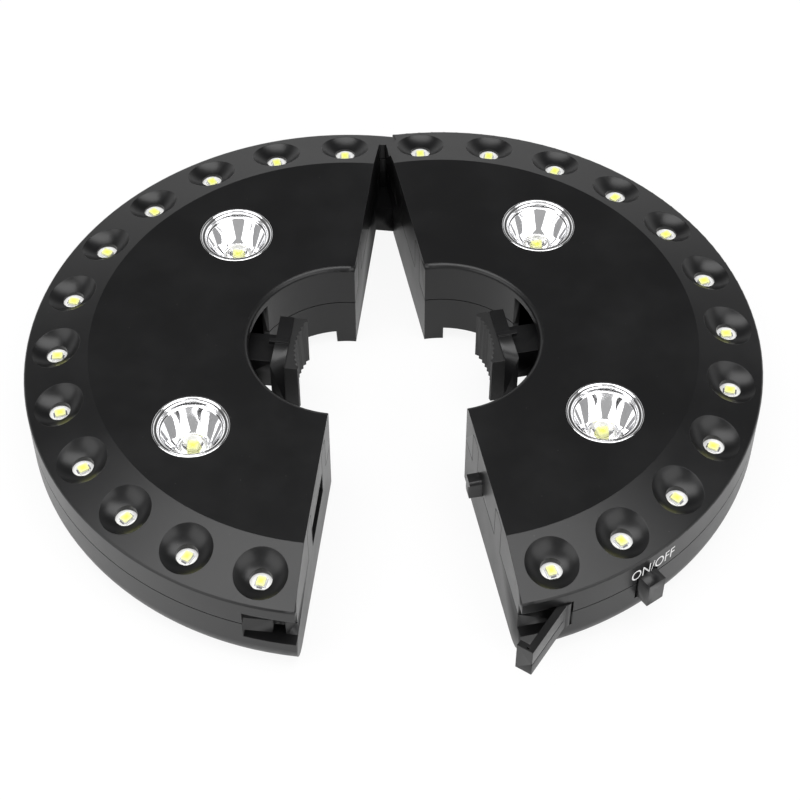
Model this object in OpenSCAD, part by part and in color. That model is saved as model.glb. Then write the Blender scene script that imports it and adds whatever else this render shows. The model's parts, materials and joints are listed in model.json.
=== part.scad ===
// Clip-on umbrella light: two half discs hinged at the rear that close round a pole.
// The origin is the centre of the left half's disc, on the underside; +Z is the lit face.
// Each half is drawn once as a left half (x < 0) and mirrored about the hinge for the right.

/* [Body] */
// Outer radius of each half disc
outer_r = 106; // [100:1:112]
// Radius of the hole round the pole
hub_r = 31.6; // [29:0.2:33]
// Height from the underside to the flat face
body_t = 36.9; // [36:0.1:40]
// Radius where the flat face breaks into the sloping band
flat_r = 84.2; // [82:0.2:86]
// Height of the rim's top edge
rim_top_z = 30.6; // [30.4:0.1:31.5]
// Height of the line where the front and rear covers meet
split_z = 20; // [18:0.5:21]
// Wall of the covers
wall = 2; // [1.6:0.1:2.2]
// Radius of the rounded lower edge
foot_round = 10; // [6:0.5:11]
// Radius of the soft edge round the hole
hub_edge = 1.8; // [1:0.2:2.4]
// Radius of the soft edge of the rim
rim_edge = 1; // [0.5:0.1:1.5]
// Set-back of each mating face from the centre line
mate_gap = 0.5; // [0.3:0.1:0.8]
// Angle between the two mating faces as drawn
open_angle = 18.6; // [12:0.2:40]

/* [Hinge] */
// Distance of the hinge axis inside the rim
hinge_inset = 2.6; // [2:0.1:3]
// Radius of the hinge knuckles
knuckle_r = 4.8; // [4.2:0.1:5]
// Radius of the hinge pin
pin_r = 1.5; // [1:0.1:2]
// Running gap round the pin in the moving knuckle
pin_gap = 0.05; // [0.02:0.01:0.1]
// Height of the lower hinge arm
arm_h = 11.6; // [9:0.2:14]
// Reach of the lower hinge arm ahead of the axis
arm_reach = 15.8; // [10:0.2:17]
// Width of the lower hinge arm beyond the mating plane
arm_w = 6.8; // [5:0.2:8]
// Underside of the upper knuckle
lug_z = 26; // [24:0.2:27]

/* [Lights] */
// Number of cups in each half
cup_count = 12; // [8:1:12]
// Distance of the ring of small lights inside the rim
ring_inset = 10.6; // [10:0.2:11.4]
// Radius of a cup's mouth
cup_r = 8.6; // [7:0.2:9]
// Radius of the ball that hollows out a cup
cup_curve = 11.5; // [11:0.1:13]
// Radius of the window at the bottom of a cup
window_r = 3.55; // [3:0.05:3.8]
// Distance of each spotlight from the two centre lines of its half
spot_d = 43.2; // [42:0.2:45]
// Radius of a reflector's rim
reflector_r = 12.6; // [11.6:0.1:13]
// Depth of a reflector below the flat face
reflector_h = 9.3; // [8:0.1:10]

/* [Pole jaws] */
// Distance from the centre line to the back of the jaw plate
jaw_back = 23; // [22:0.2:25]
// Thickness of the jaw plate
jaw_plate = 4.7; // [3.5:0.1:6]
// Thickness of the toothed pad at its ends
pad_t = 5.2; // [4:0.1:6]
// Length of the jaw along the mating face
jaw_len = 22.4; // [18:0.2:25]
// Height of the jaw
jaw_h = 20; // [16:0.5:20.5]
// Height of the jaw's lower edge above the underside
jaw_z = 12.5; // [10:0.5:12.5]
// Travel of each jaw
jaw_travel = 9; // [5:0.5:9.5]
// Number of teeth on each pad
tooth_count = 11; // [7:1:14]
// Depth of the teeth
tooth_h = 0.8; // [0.4:0.1:1.2]
// Half width of the window that the jaw goes through
jaw_window = 14.8; // [13:0.2:16]

/* [Latch] */
// Length of the latch lever from its pin to its tip
latch_len = 21.9; // [20:0.1:22.2]
// Thickness of the latch lever
latch_t = 2.4; // [2:0.1:2.8]
// Height of the latch lever
latch_h = 11.8; // [9:0.2:12]
// Reach of the latch's hook
hook_reach = 4.4; // [3:0.1:4.6]
// Angle of the latch pin round the disc from the mating line
latch_pin_angle = 8.2; // [8:0.1:8.6]
// Angle to which the latch is swung out as drawn
latch_open = 43; // [20:1:60]
// Radius of the latch pin
latch_pin_r = 0.9; // [0.6:0.05:1.1]

/* [Switch] */
// Angle of the switch round the disc from the front mating line
switch_angle = 24; // [22:0.5:27]
// Width of the switch button
button_w = 6.4; // [5:0.2:8]
// Height of the switch button
button_h = 10.2; // [8:0.2:11]
// Reach of the button beyond the rim
button_out = 4.7; // [3:0.1:6]
// Travel of the button
button_travel = 1.8; // [1:0.1:2]

/* [Battery bay] */
// Diameter of a battery
battery_d = 14.5; // [13.5:0.1:14.5]
// Length of a battery with its nub
battery_len = 50.5; // [44.5:0.5:50.5]
// Wall of the battery tray
tray_wall = 1.2; // [0.8:0.1:1.2]

/* [Hanging hooks] */
// Clearance between the hook's recess and the battery tray
hook_wall = 1.2; // [0.6:0.1:1.6]
// Radius of the middle of the hook's curl
curl_r = 6.1; // [5.6:0.1:6.2]
// Width of the hook's bar
hook_w = 3.6; // [3:0.1:3.8]
// Thickness of the hook
hook_t = 3.6; // [3:0.1:3.8]
// Distance from the hook's pin to the centre of its curl
hook_len = 31; // [26:1:32]

/* [Fasteners] */
// Radius of the cover screws' heads
screw_head_r = 2.8; // [2:0.1:3]
// Radius of the cover screws' shanks
screw_r = 1.4; // [1:0.1:1.6]

/* [Hidden] */
$fn = 96;

eps = 0.01;
far = 2 * outer_r;
gap = 0.3;                                   // clearance between pieces that move past each other
fit_gap = 0.15;                              // clearance between pieces that are fitted together
black = [0.09, 0.09, 0.095];
dark = [0.05, 0.05, 0.055];
steel = [0.72, 0.72, 0.74];

ring_r = outer_r - ring_inset;
hinge_y = outer_r - hinge_inset;
slope = atan2(body_t - rim_top_z, outer_r - flat_r);      // fall of the band
cup_step = 180 / cup_count;

seam_h = 0.4;
seam_depth = 0.5;

// heights of the lit parts
cup_lip = 0.7;                               // thickness left below a cup's lowest point
cup_wall = 1.2;
cup_mouth_z = rim_top_z + ring_inset * tan(slope);
cup_up = sqrt(pow(cup_curve, 2) - pow(cup_r, 2));         // the ball's centre above the band
cup_ball_z = cup_mouth_z + cup_up * cos(slope);
cup_floor_z = cup_ball_z - cup_curve;
board_gap = 0.2;
board_t = 1.6;
board_z = cup_floor_z - cup_lip - board_gap - board_t;    // underside of the ring board
led_size = [3.5, 2.8, 1.1];                  // a lamp's long side points at the rim
die_size = [3.1, 2.4, 0.1];
board_in_r = ring_r - 7;
board_out_r = ring_r + 5;

// spotlights
flange_t = 1.1;
flange_up = 0.1;                             // how far the reflector's rim stands proud
ledge_depth = 1.9;                           // depth of the ledge inside the reflector's rim
bowl_r = 9.9;
neck_r = 4.6;
spot_collar = 1.6;                           // depth of the collar behind the reflector's seat
spot_board_r = 8.5;
spot_board_t = 1.2;
spot_seat_z = body_t - reflector_h - 2;      // top of the spotlight's board
spot_led_r = 4.2;
spot_base_h = 2;
dome_h = 3.6;

// hinge levels
knuckle_gap = 0.4;
knuckle_root = 3;                            // reach of a knuckle's root into its half
notch_r = knuckle_r + gap;
arm_corner_r = norm([arm_reach, arm_w]);
pin_z0 = 6;
pin_z1 = lug_z + 3.2;

// battery bay
battery_pitch = battery_d + 0.4;
spring_room = 5.4;
plate_t = 0.5;
contact_size = [9, 10];
cell_spring_r = [4, 2.4];                    // radius of a battery spring at its foot and its tip
cell_wire = 0.4;
lead_r = 0.6;
lead_y = 7;
bay_len = battery_len + spring_room + 2 * plate_t + 0.1;
bay_w = battery_d + battery_pitch + 0.4;
tray_w = bay_w + 2 * tray_wall;
tray_lift = 0.2;                             // gap between the tray and the underside's wall
tray_clear = 0.35;                           // gap between the tray's corners and the rounded wall
tray_corner_r = outer_r - foot_round - tray_clear
    + sqrt(pow(foot_round - wall, 2) - pow(foot_round - wall - tray_lift, 2));
tray_x1 = sqrt(pow(tray_corner_r, 2) - pow(bay_len / 2 + tray_wall, 2));
tray_x0 = tray_x1 - tray_w;                  // edge of the tray nearest the hole
tray_mid_x = tray_x0 + tray_w / 2;
battery_z = wall + 0.5 + battery_d / 2;
tray_top = battery_z + battery_d / 2 + 0.3 + tray_wall;
door_t = wall;
door_w = bay_w - 0.4;
door_len = bay_len + 1;
door_rib_y = bay_len / 2 - 1;                // the door's ribs stand between the contacts and the cells
door_rib_t = 0.8;
door_rib_h = 1.6;
door_rib_w = 12;
door_grip_pitch = 1.5;

// jaws
jaw_mid_z = jaw_z + jaw_h / 2;
jaw_rib_w = 1.6;                             // rib across the top of the plate
jaw_rib_up = 0.5;
stem_w = 12;
stem_h = 12.5;
guide_x = hub_r + 4.4;                       // front of the guide, behind the hole's wall
guide_wall = 1.6;
guide_front = 2;
head_t = 3;
head_x = guide_x + guide_front + gap;        // front of the stem's head
guide_end = tray_x0 - 0.8;                   // the guide fills the room up to the battery tray
jaw_wire = 0.45;                             // radius of the jaw spring's wire
jaw_spring_r = 3.4;
jaw_spring_len = guide_end - guide_wall - head_x - head_t;
jaw_spring_turns = max(2, floor((jaw_spring_len - jaw_travel) / (2 * jaw_wire)));
head_w = stem_w + 3.4;
head_h = stem_h + 2.6;
grip_r = 24;

// latch and catch
slot_gap = 0.3;
latch_mid_z = 19.6;                          // height of the middle of the latch
slot_z0 = latch_mid_z - latch_h / 2 - slot_gap;
slot_z1 = slot_z0 + latch_h + 2 * slot_gap;
latch_pin_d = outer_r - latch_t / 2 - 0.1;   // distance of the pin from the disc centre
latch_pin_pos = latch_pin_d * [-sin(latch_pin_angle), -cos(latch_pin_angle)];
latch_pin_in = outer_r + latch_pin_pos[1];   // depth of the pin behind the rim's front
latch_tilt = 2.5;                            // the closed lever follows the rim's chord
barrel_r = 1.9;
slot_depth = latch_pin_in + latch_t / 2 + gap;            // depth of the outer recess in the rim
slot_end = -latch_pin_pos[0] + barrel_r + 0.4;
hook_t0 = 2.2;                               // thickness of the latch's hook
latch_tip_x = latch_len * cos(latch_tilt) + latch_pin_pos[0];   // how far the tip crosses over
pocket_x0 = latch_tip_x - hook_t0 - 0.45;
pocket_x1 = latch_tip_x + 1.6;
pocket_depth = latch_pin_in + hook_reach + gap;
slot_block_wall = 1.6;

// alignment peg and the slot that takes it
peg_y = [-54, -49];
peg_z = [17, 25];
peg_out = 4;
peg_corner = 1.2;
peg_flange = 1.4;
peg_slot_y = [-70.6, -48.3];
tabs = [[41, 47.8], [71.2, 78.4]];           // places of the rear cover's tongues
tab_gap = 0.3;
tab_top = body_t - wall - tab_gap - 0.2;
tab_chamfer = 2.2;

// switch
button_z = slot_z0 - 1;
button_in = 8;
flange_w = 1.8;
button_flange_t = 1.5;
switch_size = [9, 9.5, 10];
switch_gap = 1.2;                            // from the pressed button to the switch
switch_r1 = outer_r - button_in - button_travel - switch_gap;
control_size = [30, 27, 1.6];
control_gap = 0.5;                           // the control board lies this far below the button's flange
control_z = button_z - flange_w - control_gap - control_size[2];
control_inset = 9;
control_post_r = 2;
control_r1 = outer_r - control_inset;

// hook recess
hook_z = 2.6;                                // height of the hook's pin
recess_gap = 0.6;
recess_top = hook_z + hook_t / 2 + 0.5;
hook_y0 = 17;                                // the pin's place along the mating direction
hook_pin_r = 1.1;
skin = 1.4;                                  // wall over a recess
curl_out = curl_r + hook_w / 2;
hook_x = tray_x0 - curl_out - recess_gap - skin - hook_wall;    // centre line of the hook's curl

// screws
screw_polar = [[hub_r + 13.3, 11.6], [outer_r - 28.7, 8.2], [outer_r - 25.1, 50]];
screw_spots = [for (s = [-1, 1]) for (p = screw_polar) p[0] * [-sin(p[1]), s * cos(p[1])]];
screw_len = 12;
post_r = 4.2;
boss_r = 3.4;
well_z = 10;                                 // depth of the screw wells
post_z = well_z + 3;                         // where the rear posts meet the front bosses
screw_head_h = 2.2;

// notch under the hole's edge, between the feet
under_h = 5.4;
under_w = 6.6;
foot_angle = 13;

// ---------------------------------------------------------------- placing

module place_right()
    translate([0, hinge_y, 0]) rotate([0, 0, open_angle]) mirror([1, 0, 0])
        translate([0, -hinge_y, 0]) children();

module behind(d)                             // everything further than d behind the centre line
    intersection() {
        children();
        translate([-far - d, -far, -far]) cube([far, 2 * far, 2 * far]);
    }

module both_ends() {
    children();
    mirror([0, 1, 0]) children();
}

module ring_places()
    for (i = [0:cup_count - 1])
        rotate([0, 0, 90 + cup_step * (i + 0.5)]) translate([ring_r, 0, 0]) children();

module spot_places()
    for (s = [-1, 1]) translate([-spot_d, s * spot_d, 0]) children();

module screw_places()
    for (p = screw_spots) translate([p[0], p[1], 0]) children();

module at_switch()                           // X runs outwards through the rim at the switch
    rotate([0, 0, 270 - switch_angle]) children();

module block(x0, x1, y0, y1, z0, z1)
    translate([x0, y0, z0]) cube([x1 - x0, y1 - y0, z1 - z0]);

// ---------------------------------------------------------------- the body's outline

function band_z(inset) = rim_top_z - inset * (1 - sin(slope)) / cos(slope);

module outer_section() {
    edge = [outer_r - rim_edge, band_z(rim_edge)];
    polygon([
        [hub_r, 0],
        [outer_r - foot_round, 0],
        [outer_r, foot_round],
        [outer_r, edge[1]],
        edge + rim_edge * [sin(slope), cos(slope)],
        [flat_r, body_t],
        [hub_r + hub_edge, body_t],
        [hub_r, body_t - hub_edge]]);
    translate([outer_r - foot_round, foot_round]) circle(r = foot_round);
    translate([hub_r + hub_edge, body_t - hub_edge]) circle(r = hub_edge, $fn = 48);
    translate(edge) circle(r = rim_edge, $fn = 48);
}

module inner_section() {
    polygon([
        [hub_r + wall, wall],
        [outer_r - foot_round, wall],
        [outer_r - wall, foot_round],
        [outer_r - wall, band_z(wall)],
        [flat_r - wall * tan(slope / 2), body_t - wall],
        [hub_r + wall, body_t - wall]]);
    translate([outer_r - foot_round, foot_round]) circle(r = foot_round - wall);
}

module half_turn() rotate([0, 0, 90]) rotate_extrude(angle = 180, $fn = 180) children();

module full_body() rotate_extrude($fn = 180) outer_section();

module outer_half() behind(mate_gap) half_turn() outer_section();

module inner_half() behind(mate_gap + wall) half_turn() inner_section();

module above(z) intersection() { children(); translate([-far, -far, z]) cube(2 * far); }

module below(z) intersection() { children(); translate([-far, -far, z - 2 * far]) cube(2 * far); }

// ---------------------------------------------------------------- shared features

module tongue(span, clear)                   // one of the rear cover's tongues in the mating wall
    translate([-mate_gap - wall, 0, 0]) rotate([90, 0, 90]) linear_extrude(wall)
        polygon([
            [span[0] - clear, split_z - eps],
            [span[1] + clear, split_z - eps],
            [span[1] + clear, tab_top - tab_chamfer / 2 + clear],
            [span[1] - tab_chamfer, tab_top + clear],
            [span[0] + tab_chamfer, tab_top + clear],
            [span[0] - clear, tab_top - tab_chamfer / 2 + clear]]);

module tongues(clear = 0) both_ends() for (t = tabs) tongue(t, clear);

module hinge_axis() translate([0, hinge_y, 0]) children();

module knuckle(r, z0, z1)                    // a knuckle and its root, trimmed to the disc's outline
    intersection() {
        hinge_axis() union() {
            translate([0, 0, z0]) cylinder(r = r, h = z1 - z0);
            block(-r - knuckle_root, -mate_gap, -r, r, z0, z1);
        }
        full_body();
    }

module hinge_boss(z0, z1)                    // solid plastic round the hinge, inside the half
    behind(mate_gap) intersection() {
        hinge_axis() translate([0, 0, z0]) cylinder(r = notch_r + 2, h = z1 - z0);
        full_body();
    }

module hinge_notch(z0, z1) hinge_axis() translate([0, 0, z0]) cylinder(r = notch_r, h = z1 - z0);

module hinge_arm()                           // lower arm that reaches across from the left half
    intersection() {
        hinge_axis() intersection() {
            block(-mate_gap - wall, arm_w, -arm_reach, 0, 0, arm_h);
            cylinder(r = arm_corner_r, h = arm_h);
        }
        full_body();
    }

module arm_pocket(grow, z0, z1)              // room for that arm in the right half
    hinge_axis() intersection() {
        translate([0, 0, z0]) cylinder(r = arm_corner_r + gap + grow, h = z1 - z0);
        block(-arm_w - gap - grow, 1, -far, far, z0, z1);
    }

module slot_block()                          // solid plastic round the latch slot or catch slot
    behind(mate_gap) intersection() {
        block(-slot_end - slot_block_wall, 0, -far, -outer_r + pocket_depth + 1.4,
            slot_z0 - slot_block_wall, slot_z1 + slot_block_wall);
        full_body();
    }

module rim_slot() block(-slot_end, 1, -far, -outer_r + slot_depth, slot_z0, slot_z1);

module barrel_room()                         // lets the latch's barrel turn
    translate([latch_pin_pos[0], latch_pin_pos[1], slot_z0])
        cylinder(r = barrel_r + gap, h = slot_z1 - slot_z0);

module catch_pocket()
    block(-pocket_x1, -pocket_x0, -far, -outer_r + pocket_depth, slot_z0, slot_z1);

module under_notch(grow) {
    turn = 180 - 2 * foot_angle + (grow > 0 ? foot_angle : 0);
    rotate([0, 0, 180 - turn / 2]) rotate_extrude(angle = turn, $fn = 180)
        polygon([
            [hub_r - 1, -1],
            [hub_r + under_w + grow, -1],
            [hub_r + under_w - 2 + grow, under_h + grow],
            [hub_r - 1, under_h + grow]]);
}

module seam()                                // groove along the line where the covers meet
    difference() {
        half_turn() translate([hub_r - 1, split_z]) square([outer_r - hub_r + 2, seam_h]);
        behind(mate_gap + seam_depth) half_turn() translate([hub_r + seam_depth, split_z - 1])
            square([outer_r - hub_r - 2 * seam_depth, seam_h + 2]);
    }

module jaw_cut()
    block(-hub_r - wall - 1, -hub_r / 2, -jaw_window, jaw_window, under_h + 3, body_t - wall - 1.7);

// ---------------------------------------------------------------- front covers

module cup(grow)                             // a hollow square to the sloping band
    translate([cup_up * sin(slope), 0, cup_ball_z]) sphere(r = cup_curve + grow, $fn = 96);

module front_features() {
    above(cup_floor_z - cup_lip) intersection() {
        ring_places() {
            cup(cup_wall);
            cylinder(r = window_r + cup_wall, h = cup_mouth_z);
        }
        outer_half();
    }
    spot_places() translate([0, 0, body_t - wall - spot_collar]) difference() {
        cylinder(r = reflector_r + 1.4, h = spot_collar + 0.1);
        translate([0, 0, -1]) cylinder(r = reflector_r - 0.9, h = spot_collar + 2);
    }
    screw_places() translate([0, 0, post_z])
        cylinder(r = boss_r, h = body_t - wall + 0.1 - post_z);
    above(split_z) {
        slot_block();
        hinge_boss(split_z, body_t);
    }
}

module front_cover(side) {
    color(black) difference() {
        union() {
            above(split_z) difference() {
                outer_half();
                inner_half();
            }
            front_features();
            if (side == "left") knuckle(knuckle_r, lug_z, body_t);
        }
        ring_places() {
            cup(0);
            cylinder(r = window_r, h = body_t);
        }
        spot_places() {
            translate([0, 0, body_t - flange_t]) cylinder(r = reflector_r + fit_gap, h = 5);
            translate([0, 0, body_t - wall - spot_collar - 1])
                cylinder(r = reflector_r - 0.9, h = wall + spot_collar + 2);
        }
        tongues(tab_gap);
        jaw_cut();
        rim_slot();
        if (side == "left") {
            catch_pocket();
            hinge_notch(split_z - 1, lug_z);
            block(-mate_gap - wall - 1, 1, peg_slot_y[0], peg_slot_y[1], peg_z[0], peg_z[1] + 0.6);
            hinge_axis() translate([0, 0, pin_z0]) cylinder(r = pin_r, h = pin_z1 - pin_z0);
        }
        if (side == "right") {
            hinge_notch(lug_z - knuckle_gap, far);
            hinge_axis() cylinder(r = pin_r + pin_gap, h = body_t);
            peg_hole();
            button_hole();
            barrel_room();
            latch_pin_hole();
        }
        screw_places() translate([0, 0, post_z - 1])
            cylinder(r = screw_r + 0.05, h = well_z + screw_len + 3.5 - post_z, $fn = 32);
        seam();
    }
    if (side == "right") color(black) difference() {
        knuckle(knuckle_r, split_z, lug_z - knuckle_gap);
        hinge_axis() cylinder(r = pin_r + pin_gap, h = body_t);
    }
}

// ---------------------------------------------------------------- rear covers

module rear_cover(side) {
    color(black) difference() {
        union() {
            below(split_z) difference() {
                outer_half();
                inner_half();
            }
            tongues();
            below(split_z) {
                slot_block();
                hinge_boss(0, split_z);
            }
            intersection() {
                under_notch(wall);
                outer_half();
            }
            screw_places() translate([0, 0, eps]) cylinder(r = post_r, h = post_z - fit_gap - eps);
            hook_recess(skin);
            if (side == "left") {
                hinge_arm();
                knuckle(knuckle_r, 0, arm_h);
            }
            if (side == "right") {
                behind(mate_gap) intersection() {
                    arm_pocket(1.6, 0, arm_h + knuckle_gap + 1.6);
                    full_body();
                }
                control_posts();
                knuckle(knuckle_r, arm_h + knuckle_gap, split_z);
            }
        }
        under_notch(0);
        jaw_cut();
        rim_slot();
        screw_places() {
            translate([0, 0, -1]) cylinder(r = screw_head_r + 0.4, h = well_z + 1);
            cylinder(r = screw_r + 0.2, h = post_z, $fn = 32);
        }
        door_opening();
        hook_recess(0);
        hook_bore();
        if (side == "left") {
            catch_pocket();
            hinge_notch(arm_h, split_z + 1);
            block(-mate_gap - wall - 1, 1, peg_slot_y[0], peg_slot_y[1], peg_z[0] - 0.6, split_z + 1);
            hinge_axis() translate([0, 0, pin_z0]) cylinder(r = pin_r, h = arm_h);
        }
        if (side == "right") {
            arm_pocket(0, -1, arm_h + knuckle_gap);
            peg_hole();
            button_hole();
            barrel_room();
            latch_pin_hole();
            hinge_axis() cylinder(r = pin_r + pin_gap, h = body_t);
        }
    }
}

module door_opening()
    block(-tray_mid_x - door_w / 2 - gap / 2, -tray_mid_x + door_w / 2 + gap / 2,
        -door_len / 2 - gap / 2, door_len / 2 + gap / 2, -1, wall + 0.5);

// ---------------------------------------------------------------- lights

module ring_board()
    color([0.92, 0.92, 0.9]) behind(mate_gap + wall + 0.5) difference() {
        half_turn() translate([board_in_r, board_z])
            square([board_out_r - board_in_r, board_t]);
        block(-slot_end - slot_block_wall - 0.4, 1, -far, -outer_r + pocket_depth + 1.8, 0, body_t);
        hinge_axis() cylinder(r = norm([knuckle_r + knuckle_root, knuckle_r]) + gap, h = body_t);
    }

module ring_leds()
    color([0.95, 0.95, 0.8]) ring_places() translate([0, 0, board_z + board_t]) {
        translate([0, 0, led_size[2] / 2]) cube(led_size, center = true);
        translate([0, 0, led_size[2] + die_size[2] / 2 - eps])
            cube([die_size[0], die_size[1], die_size[2] + 2 * eps], center = true);
    }

module spot_boards()
    color([0.92, 0.92, 0.9]) spot_places() translate([0, 0, spot_seat_z - spot_board_t])
        cylinder(r = spot_board_r, h = spot_board_t);

module spot_leds() {
    ball = (pow(spot_led_r, 2) + pow(dome_h, 2)) / (2 * dome_h);
    color([0.9, 0.92, 0.8]) spot_places() translate([0, 0, spot_seat_z]) {
        cylinder(r = spot_led_r, h = spot_base_h);
        above(spot_base_h) translate([0, 0, spot_base_h + dome_h - ball]) sphere(r = ball);
    }
}

module reflectors() {
    curve = (pow(bowl_r, 2) - pow(neck_r, 2)) / (reflector_h - ledge_depth);
    bowl = [for (i = [0:8])
        let (d = reflector_h - (reflector_h - ledge_depth) * i / 8)
        [sqrt(pow(neck_r, 2) + curve * (reflector_h - d)), -d]];
    skin_r = 0.9;
    color([0.85, 0.86, 0.88]) spot_places() translate([0, 0, body_t]) rotate_extrude($fn = 96)
        polygon(concat(
            [[neck_r, -reflector_h - 2], [neck_r, -reflector_h]],
            bowl,
            [[bowl_r + 0.4, -ledge_depth],
             [reflector_r - 0.7, flange_up],
             [reflector_r, flange_up],
             [reflector_r, -flange_t],
             [reflector_r - 1.1, -flange_t],
             [bowl_r + 0.4 + skin_r, -ledge_depth - skin_r]],
            [for (i = [7:-1:1]) bowl[i] + [skin_r, -skin_r / 2]],
            [[neck_r + skin_r, -reflector_h - 2]]));
}

module leads()
    color([0.7, 0.1, 0.08]) for (s = [-1, 1])
        translate([-tray_x1 + 2, s * lead_y, tray_top])
            cylinder(r = lead_r, h = board_z - tray_top, $fn = 24);

// ---------------------------------------------------------------- jaws

module jaw()
    color(dark) {
        block(-jaw_back, -jaw_back + jaw_plate, -jaw_len / 2, jaw_len / 2, jaw_z, jaw_z + jaw_h);
        block(-head_x - eps, -jaw_back + eps, -stem_w / 2, stem_w / 2,
            jaw_mid_z - stem_h / 2, jaw_mid_z + stem_h / 2);
        block(-head_x - head_t, -head_x, -head_w / 2, head_w / 2,
            jaw_mid_z - stem_h / 2, jaw_mid_z + head_h / 2);
        block(-jaw_back - 2, -jaw_back + jaw_plate, -jaw_rib_w / 2, jaw_rib_w / 2,
            jaw_z + jaw_h - 1, jaw_z + jaw_h + jaw_rib_up);
    }

module jaw_pad() {
    half_len = jaw_len / 2;
    grip_mid = grip_r - sqrt(grip_r * grip_r - half_len * half_len);    // depth of the hollow
    front = jaw_back - jaw_plate - pad_t;
    pitch = jaw_len / tooth_count;
    teeth = [for (i = [0:2 * tooth_count])
        let (y = -half_len + i * pitch / 2,
             hollow = grip_mid - (grip_r - sqrt(grip_r * grip_r - y * y)),
             root = i % 2 == 0 ? tooth_h : 0)
        [-front - hollow - root, y]];
    color(dark) translate([0, 0, jaw_z]) linear_extrude(jaw_h - 0.4)
        polygon(concat([[-jaw_back + jaw_plate, half_len], [-jaw_back + jaw_plate, -half_len]], teeth));
}

module jaw_guide() {
    w = head_w / 2 + gap + guide_wall;
    z0 = jaw_z - 2.5;
    z1 = body_t - wall - fit_gap;
    cavity_top = jaw_mid_z + head_h / 2 + gap;
    color([0.16, 0.16, 0.17]) difference() {
        block(-guide_end, -guide_x, -w, w, z0, z1);
        block(-guide_end + guide_wall, -guide_x - guide_front, -w + guide_wall, w - guide_wall,
            z0 - 1, cavity_top);
        block(-guide_x - guide_front - 1, -guide_x + 1, -stem_w / 2 - gap, stem_w / 2 + gap,
            z0 - 1, jaw_mid_z + stem_h / 2 + gap);
    }
}

// a round wire wound evenly from z = 0 to z = len, closed at both ends
module coil(len, r0, r1, wire, turns) {
    steps = 12;
    sides = 6;
    count = steps * turns;
    rise = (len - 2 * wire) / count;
    ring = [for (i = [0:count]) for (j = [0:sides - 1])
        let (a = 360 * i / steps, b = 360 * j / sides, r = r0 + (r1 - r0) * i / count + wire * cos(b))
        [r * cos(a), r * sin(a), wire + rise * i + wire * sin(b)]];
    skins = [for (i = [0:count - 1]) for (j = [0:sides - 1])
        let (k = (j + 1) % sides, a = i * sides, b = a + sides)
        each [[a + j, b + k, b + j], [a + j, a + k, b + k]]];
    caps = [for (j = [1:sides - 2]) each [
        [0, j + 1, j],
        [count * sides, count * sides + j, count * sides + j + 1]]];
    polyhedron(points = ring, faces = concat(skins, caps));
}

module jaw_spring()
    color(steel) translate([-guide_end + guide_wall, 0, jaw_mid_z]) rotate([0, 90, 0])
        coil(jaw_spring_len, jaw_spring_r, jaw_spring_r, jaw_wire, jaw_spring_turns);

// ---------------------------------------------------------------- battery bay

module battery_tray()
    color([0.16, 0.16, 0.17]) difference() {
        block(-tray_x1, -tray_x0, -bay_len / 2 - tray_wall, bay_len / 2 + tray_wall,
            wall + tray_lift, tray_top);
        block(-tray_mid_x - bay_w / 2, -tray_mid_x + bay_w / 2, -bay_len / 2, bay_len / 2,
            0, tray_top - tray_wall);
    }

module battery_places()                      // Y runs from the spring end to the nub
    for (s = [-1, 1]) translate([-tray_mid_x + s * battery_pitch / 2, 0, battery_z])
        rotate([0, 0, s > 0 ? 0 : 180]) children();

module batteries()
    color([0.15, 0.35, 0.2]) battery_places()
        translate([0, bay_len / 2 - plate_t - 0.05, 0]) rotate([90, 0, 0]) {
            cylinder(r = 2.75, h = 2);
            translate([0, 0, 1.4]) cylinder(r = battery_d / 2, h = battery_len - 1.4);
        }

module battery_contacts()
    color(steel) battery_places() {
        for (s = [-1, 1]) translate([0, s * (bay_len - plate_t) / 2, 0])
            cube([contact_size[0], plate_t, contact_size[1]], center = true);
        translate([0, -bay_len / 2 + plate_t, 0]) rotate([-90, 0, 0])
            coil(spring_room, cell_spring_r[0], cell_spring_r[1], cell_wire, 4);
    }

module battery_door()
    color(black) difference() {
        union() {
            intersection() {
                block(-tray_mid_x - door_w / 2, -tray_mid_x + door_w / 2,
                    -door_len / 2, door_len / 2, 0, door_t);
                full_body();
            }
            for (s = [-1, 1])
                block(-tray_mid_x - door_rib_w / 2, -tray_mid_x + door_rib_w / 2,
                    s * door_rib_y - door_rib_t / 2, s * door_rib_y + door_rib_t / 2,
                    door_t - eps, door_t + door_rib_h);
        }
        for (i = [2:8])
            translate([-tray_mid_x, door_len / 2 - i * door_grip_pitch, 0])
                cube([10, door_grip_pitch / 2, 1.2], center = true);
    }

// ---------------------------------------------------------------- hanging hooks

module hook_recess(grow)
    intersection() {
        translate([-hook_x, hook_y0, -1]) {
            linear_extrude(recess_top + 1 + grow) {
                translate([-curl_out - recess_gap - grow, -hook_len - curl_out - recess_gap - grow])
                    square([2 * (curl_out + recess_gap + grow), 2 * curl_out + recess_gap + grow]);
                translate([-curl_out - recess_gap - grow, -hook_len])
                    square([hook_w + 2 * (recess_gap + grow), hook_len + 2.6 + recess_gap + grow]);
            }
        }
        translate([0, 0, grow > 0 ? eps : -1]) cylinder(r = outer_r, h = body_t);
    }

module hook_bore()
    translate([-hook_x - curl_out - recess_gap - 1, hook_y0, hook_z]) rotate([0, 90, 0])
        cylinder(r = hook_pin_r + pin_gap, h = hook_w + 2 * recess_gap + 2, $fn = 32);

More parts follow.
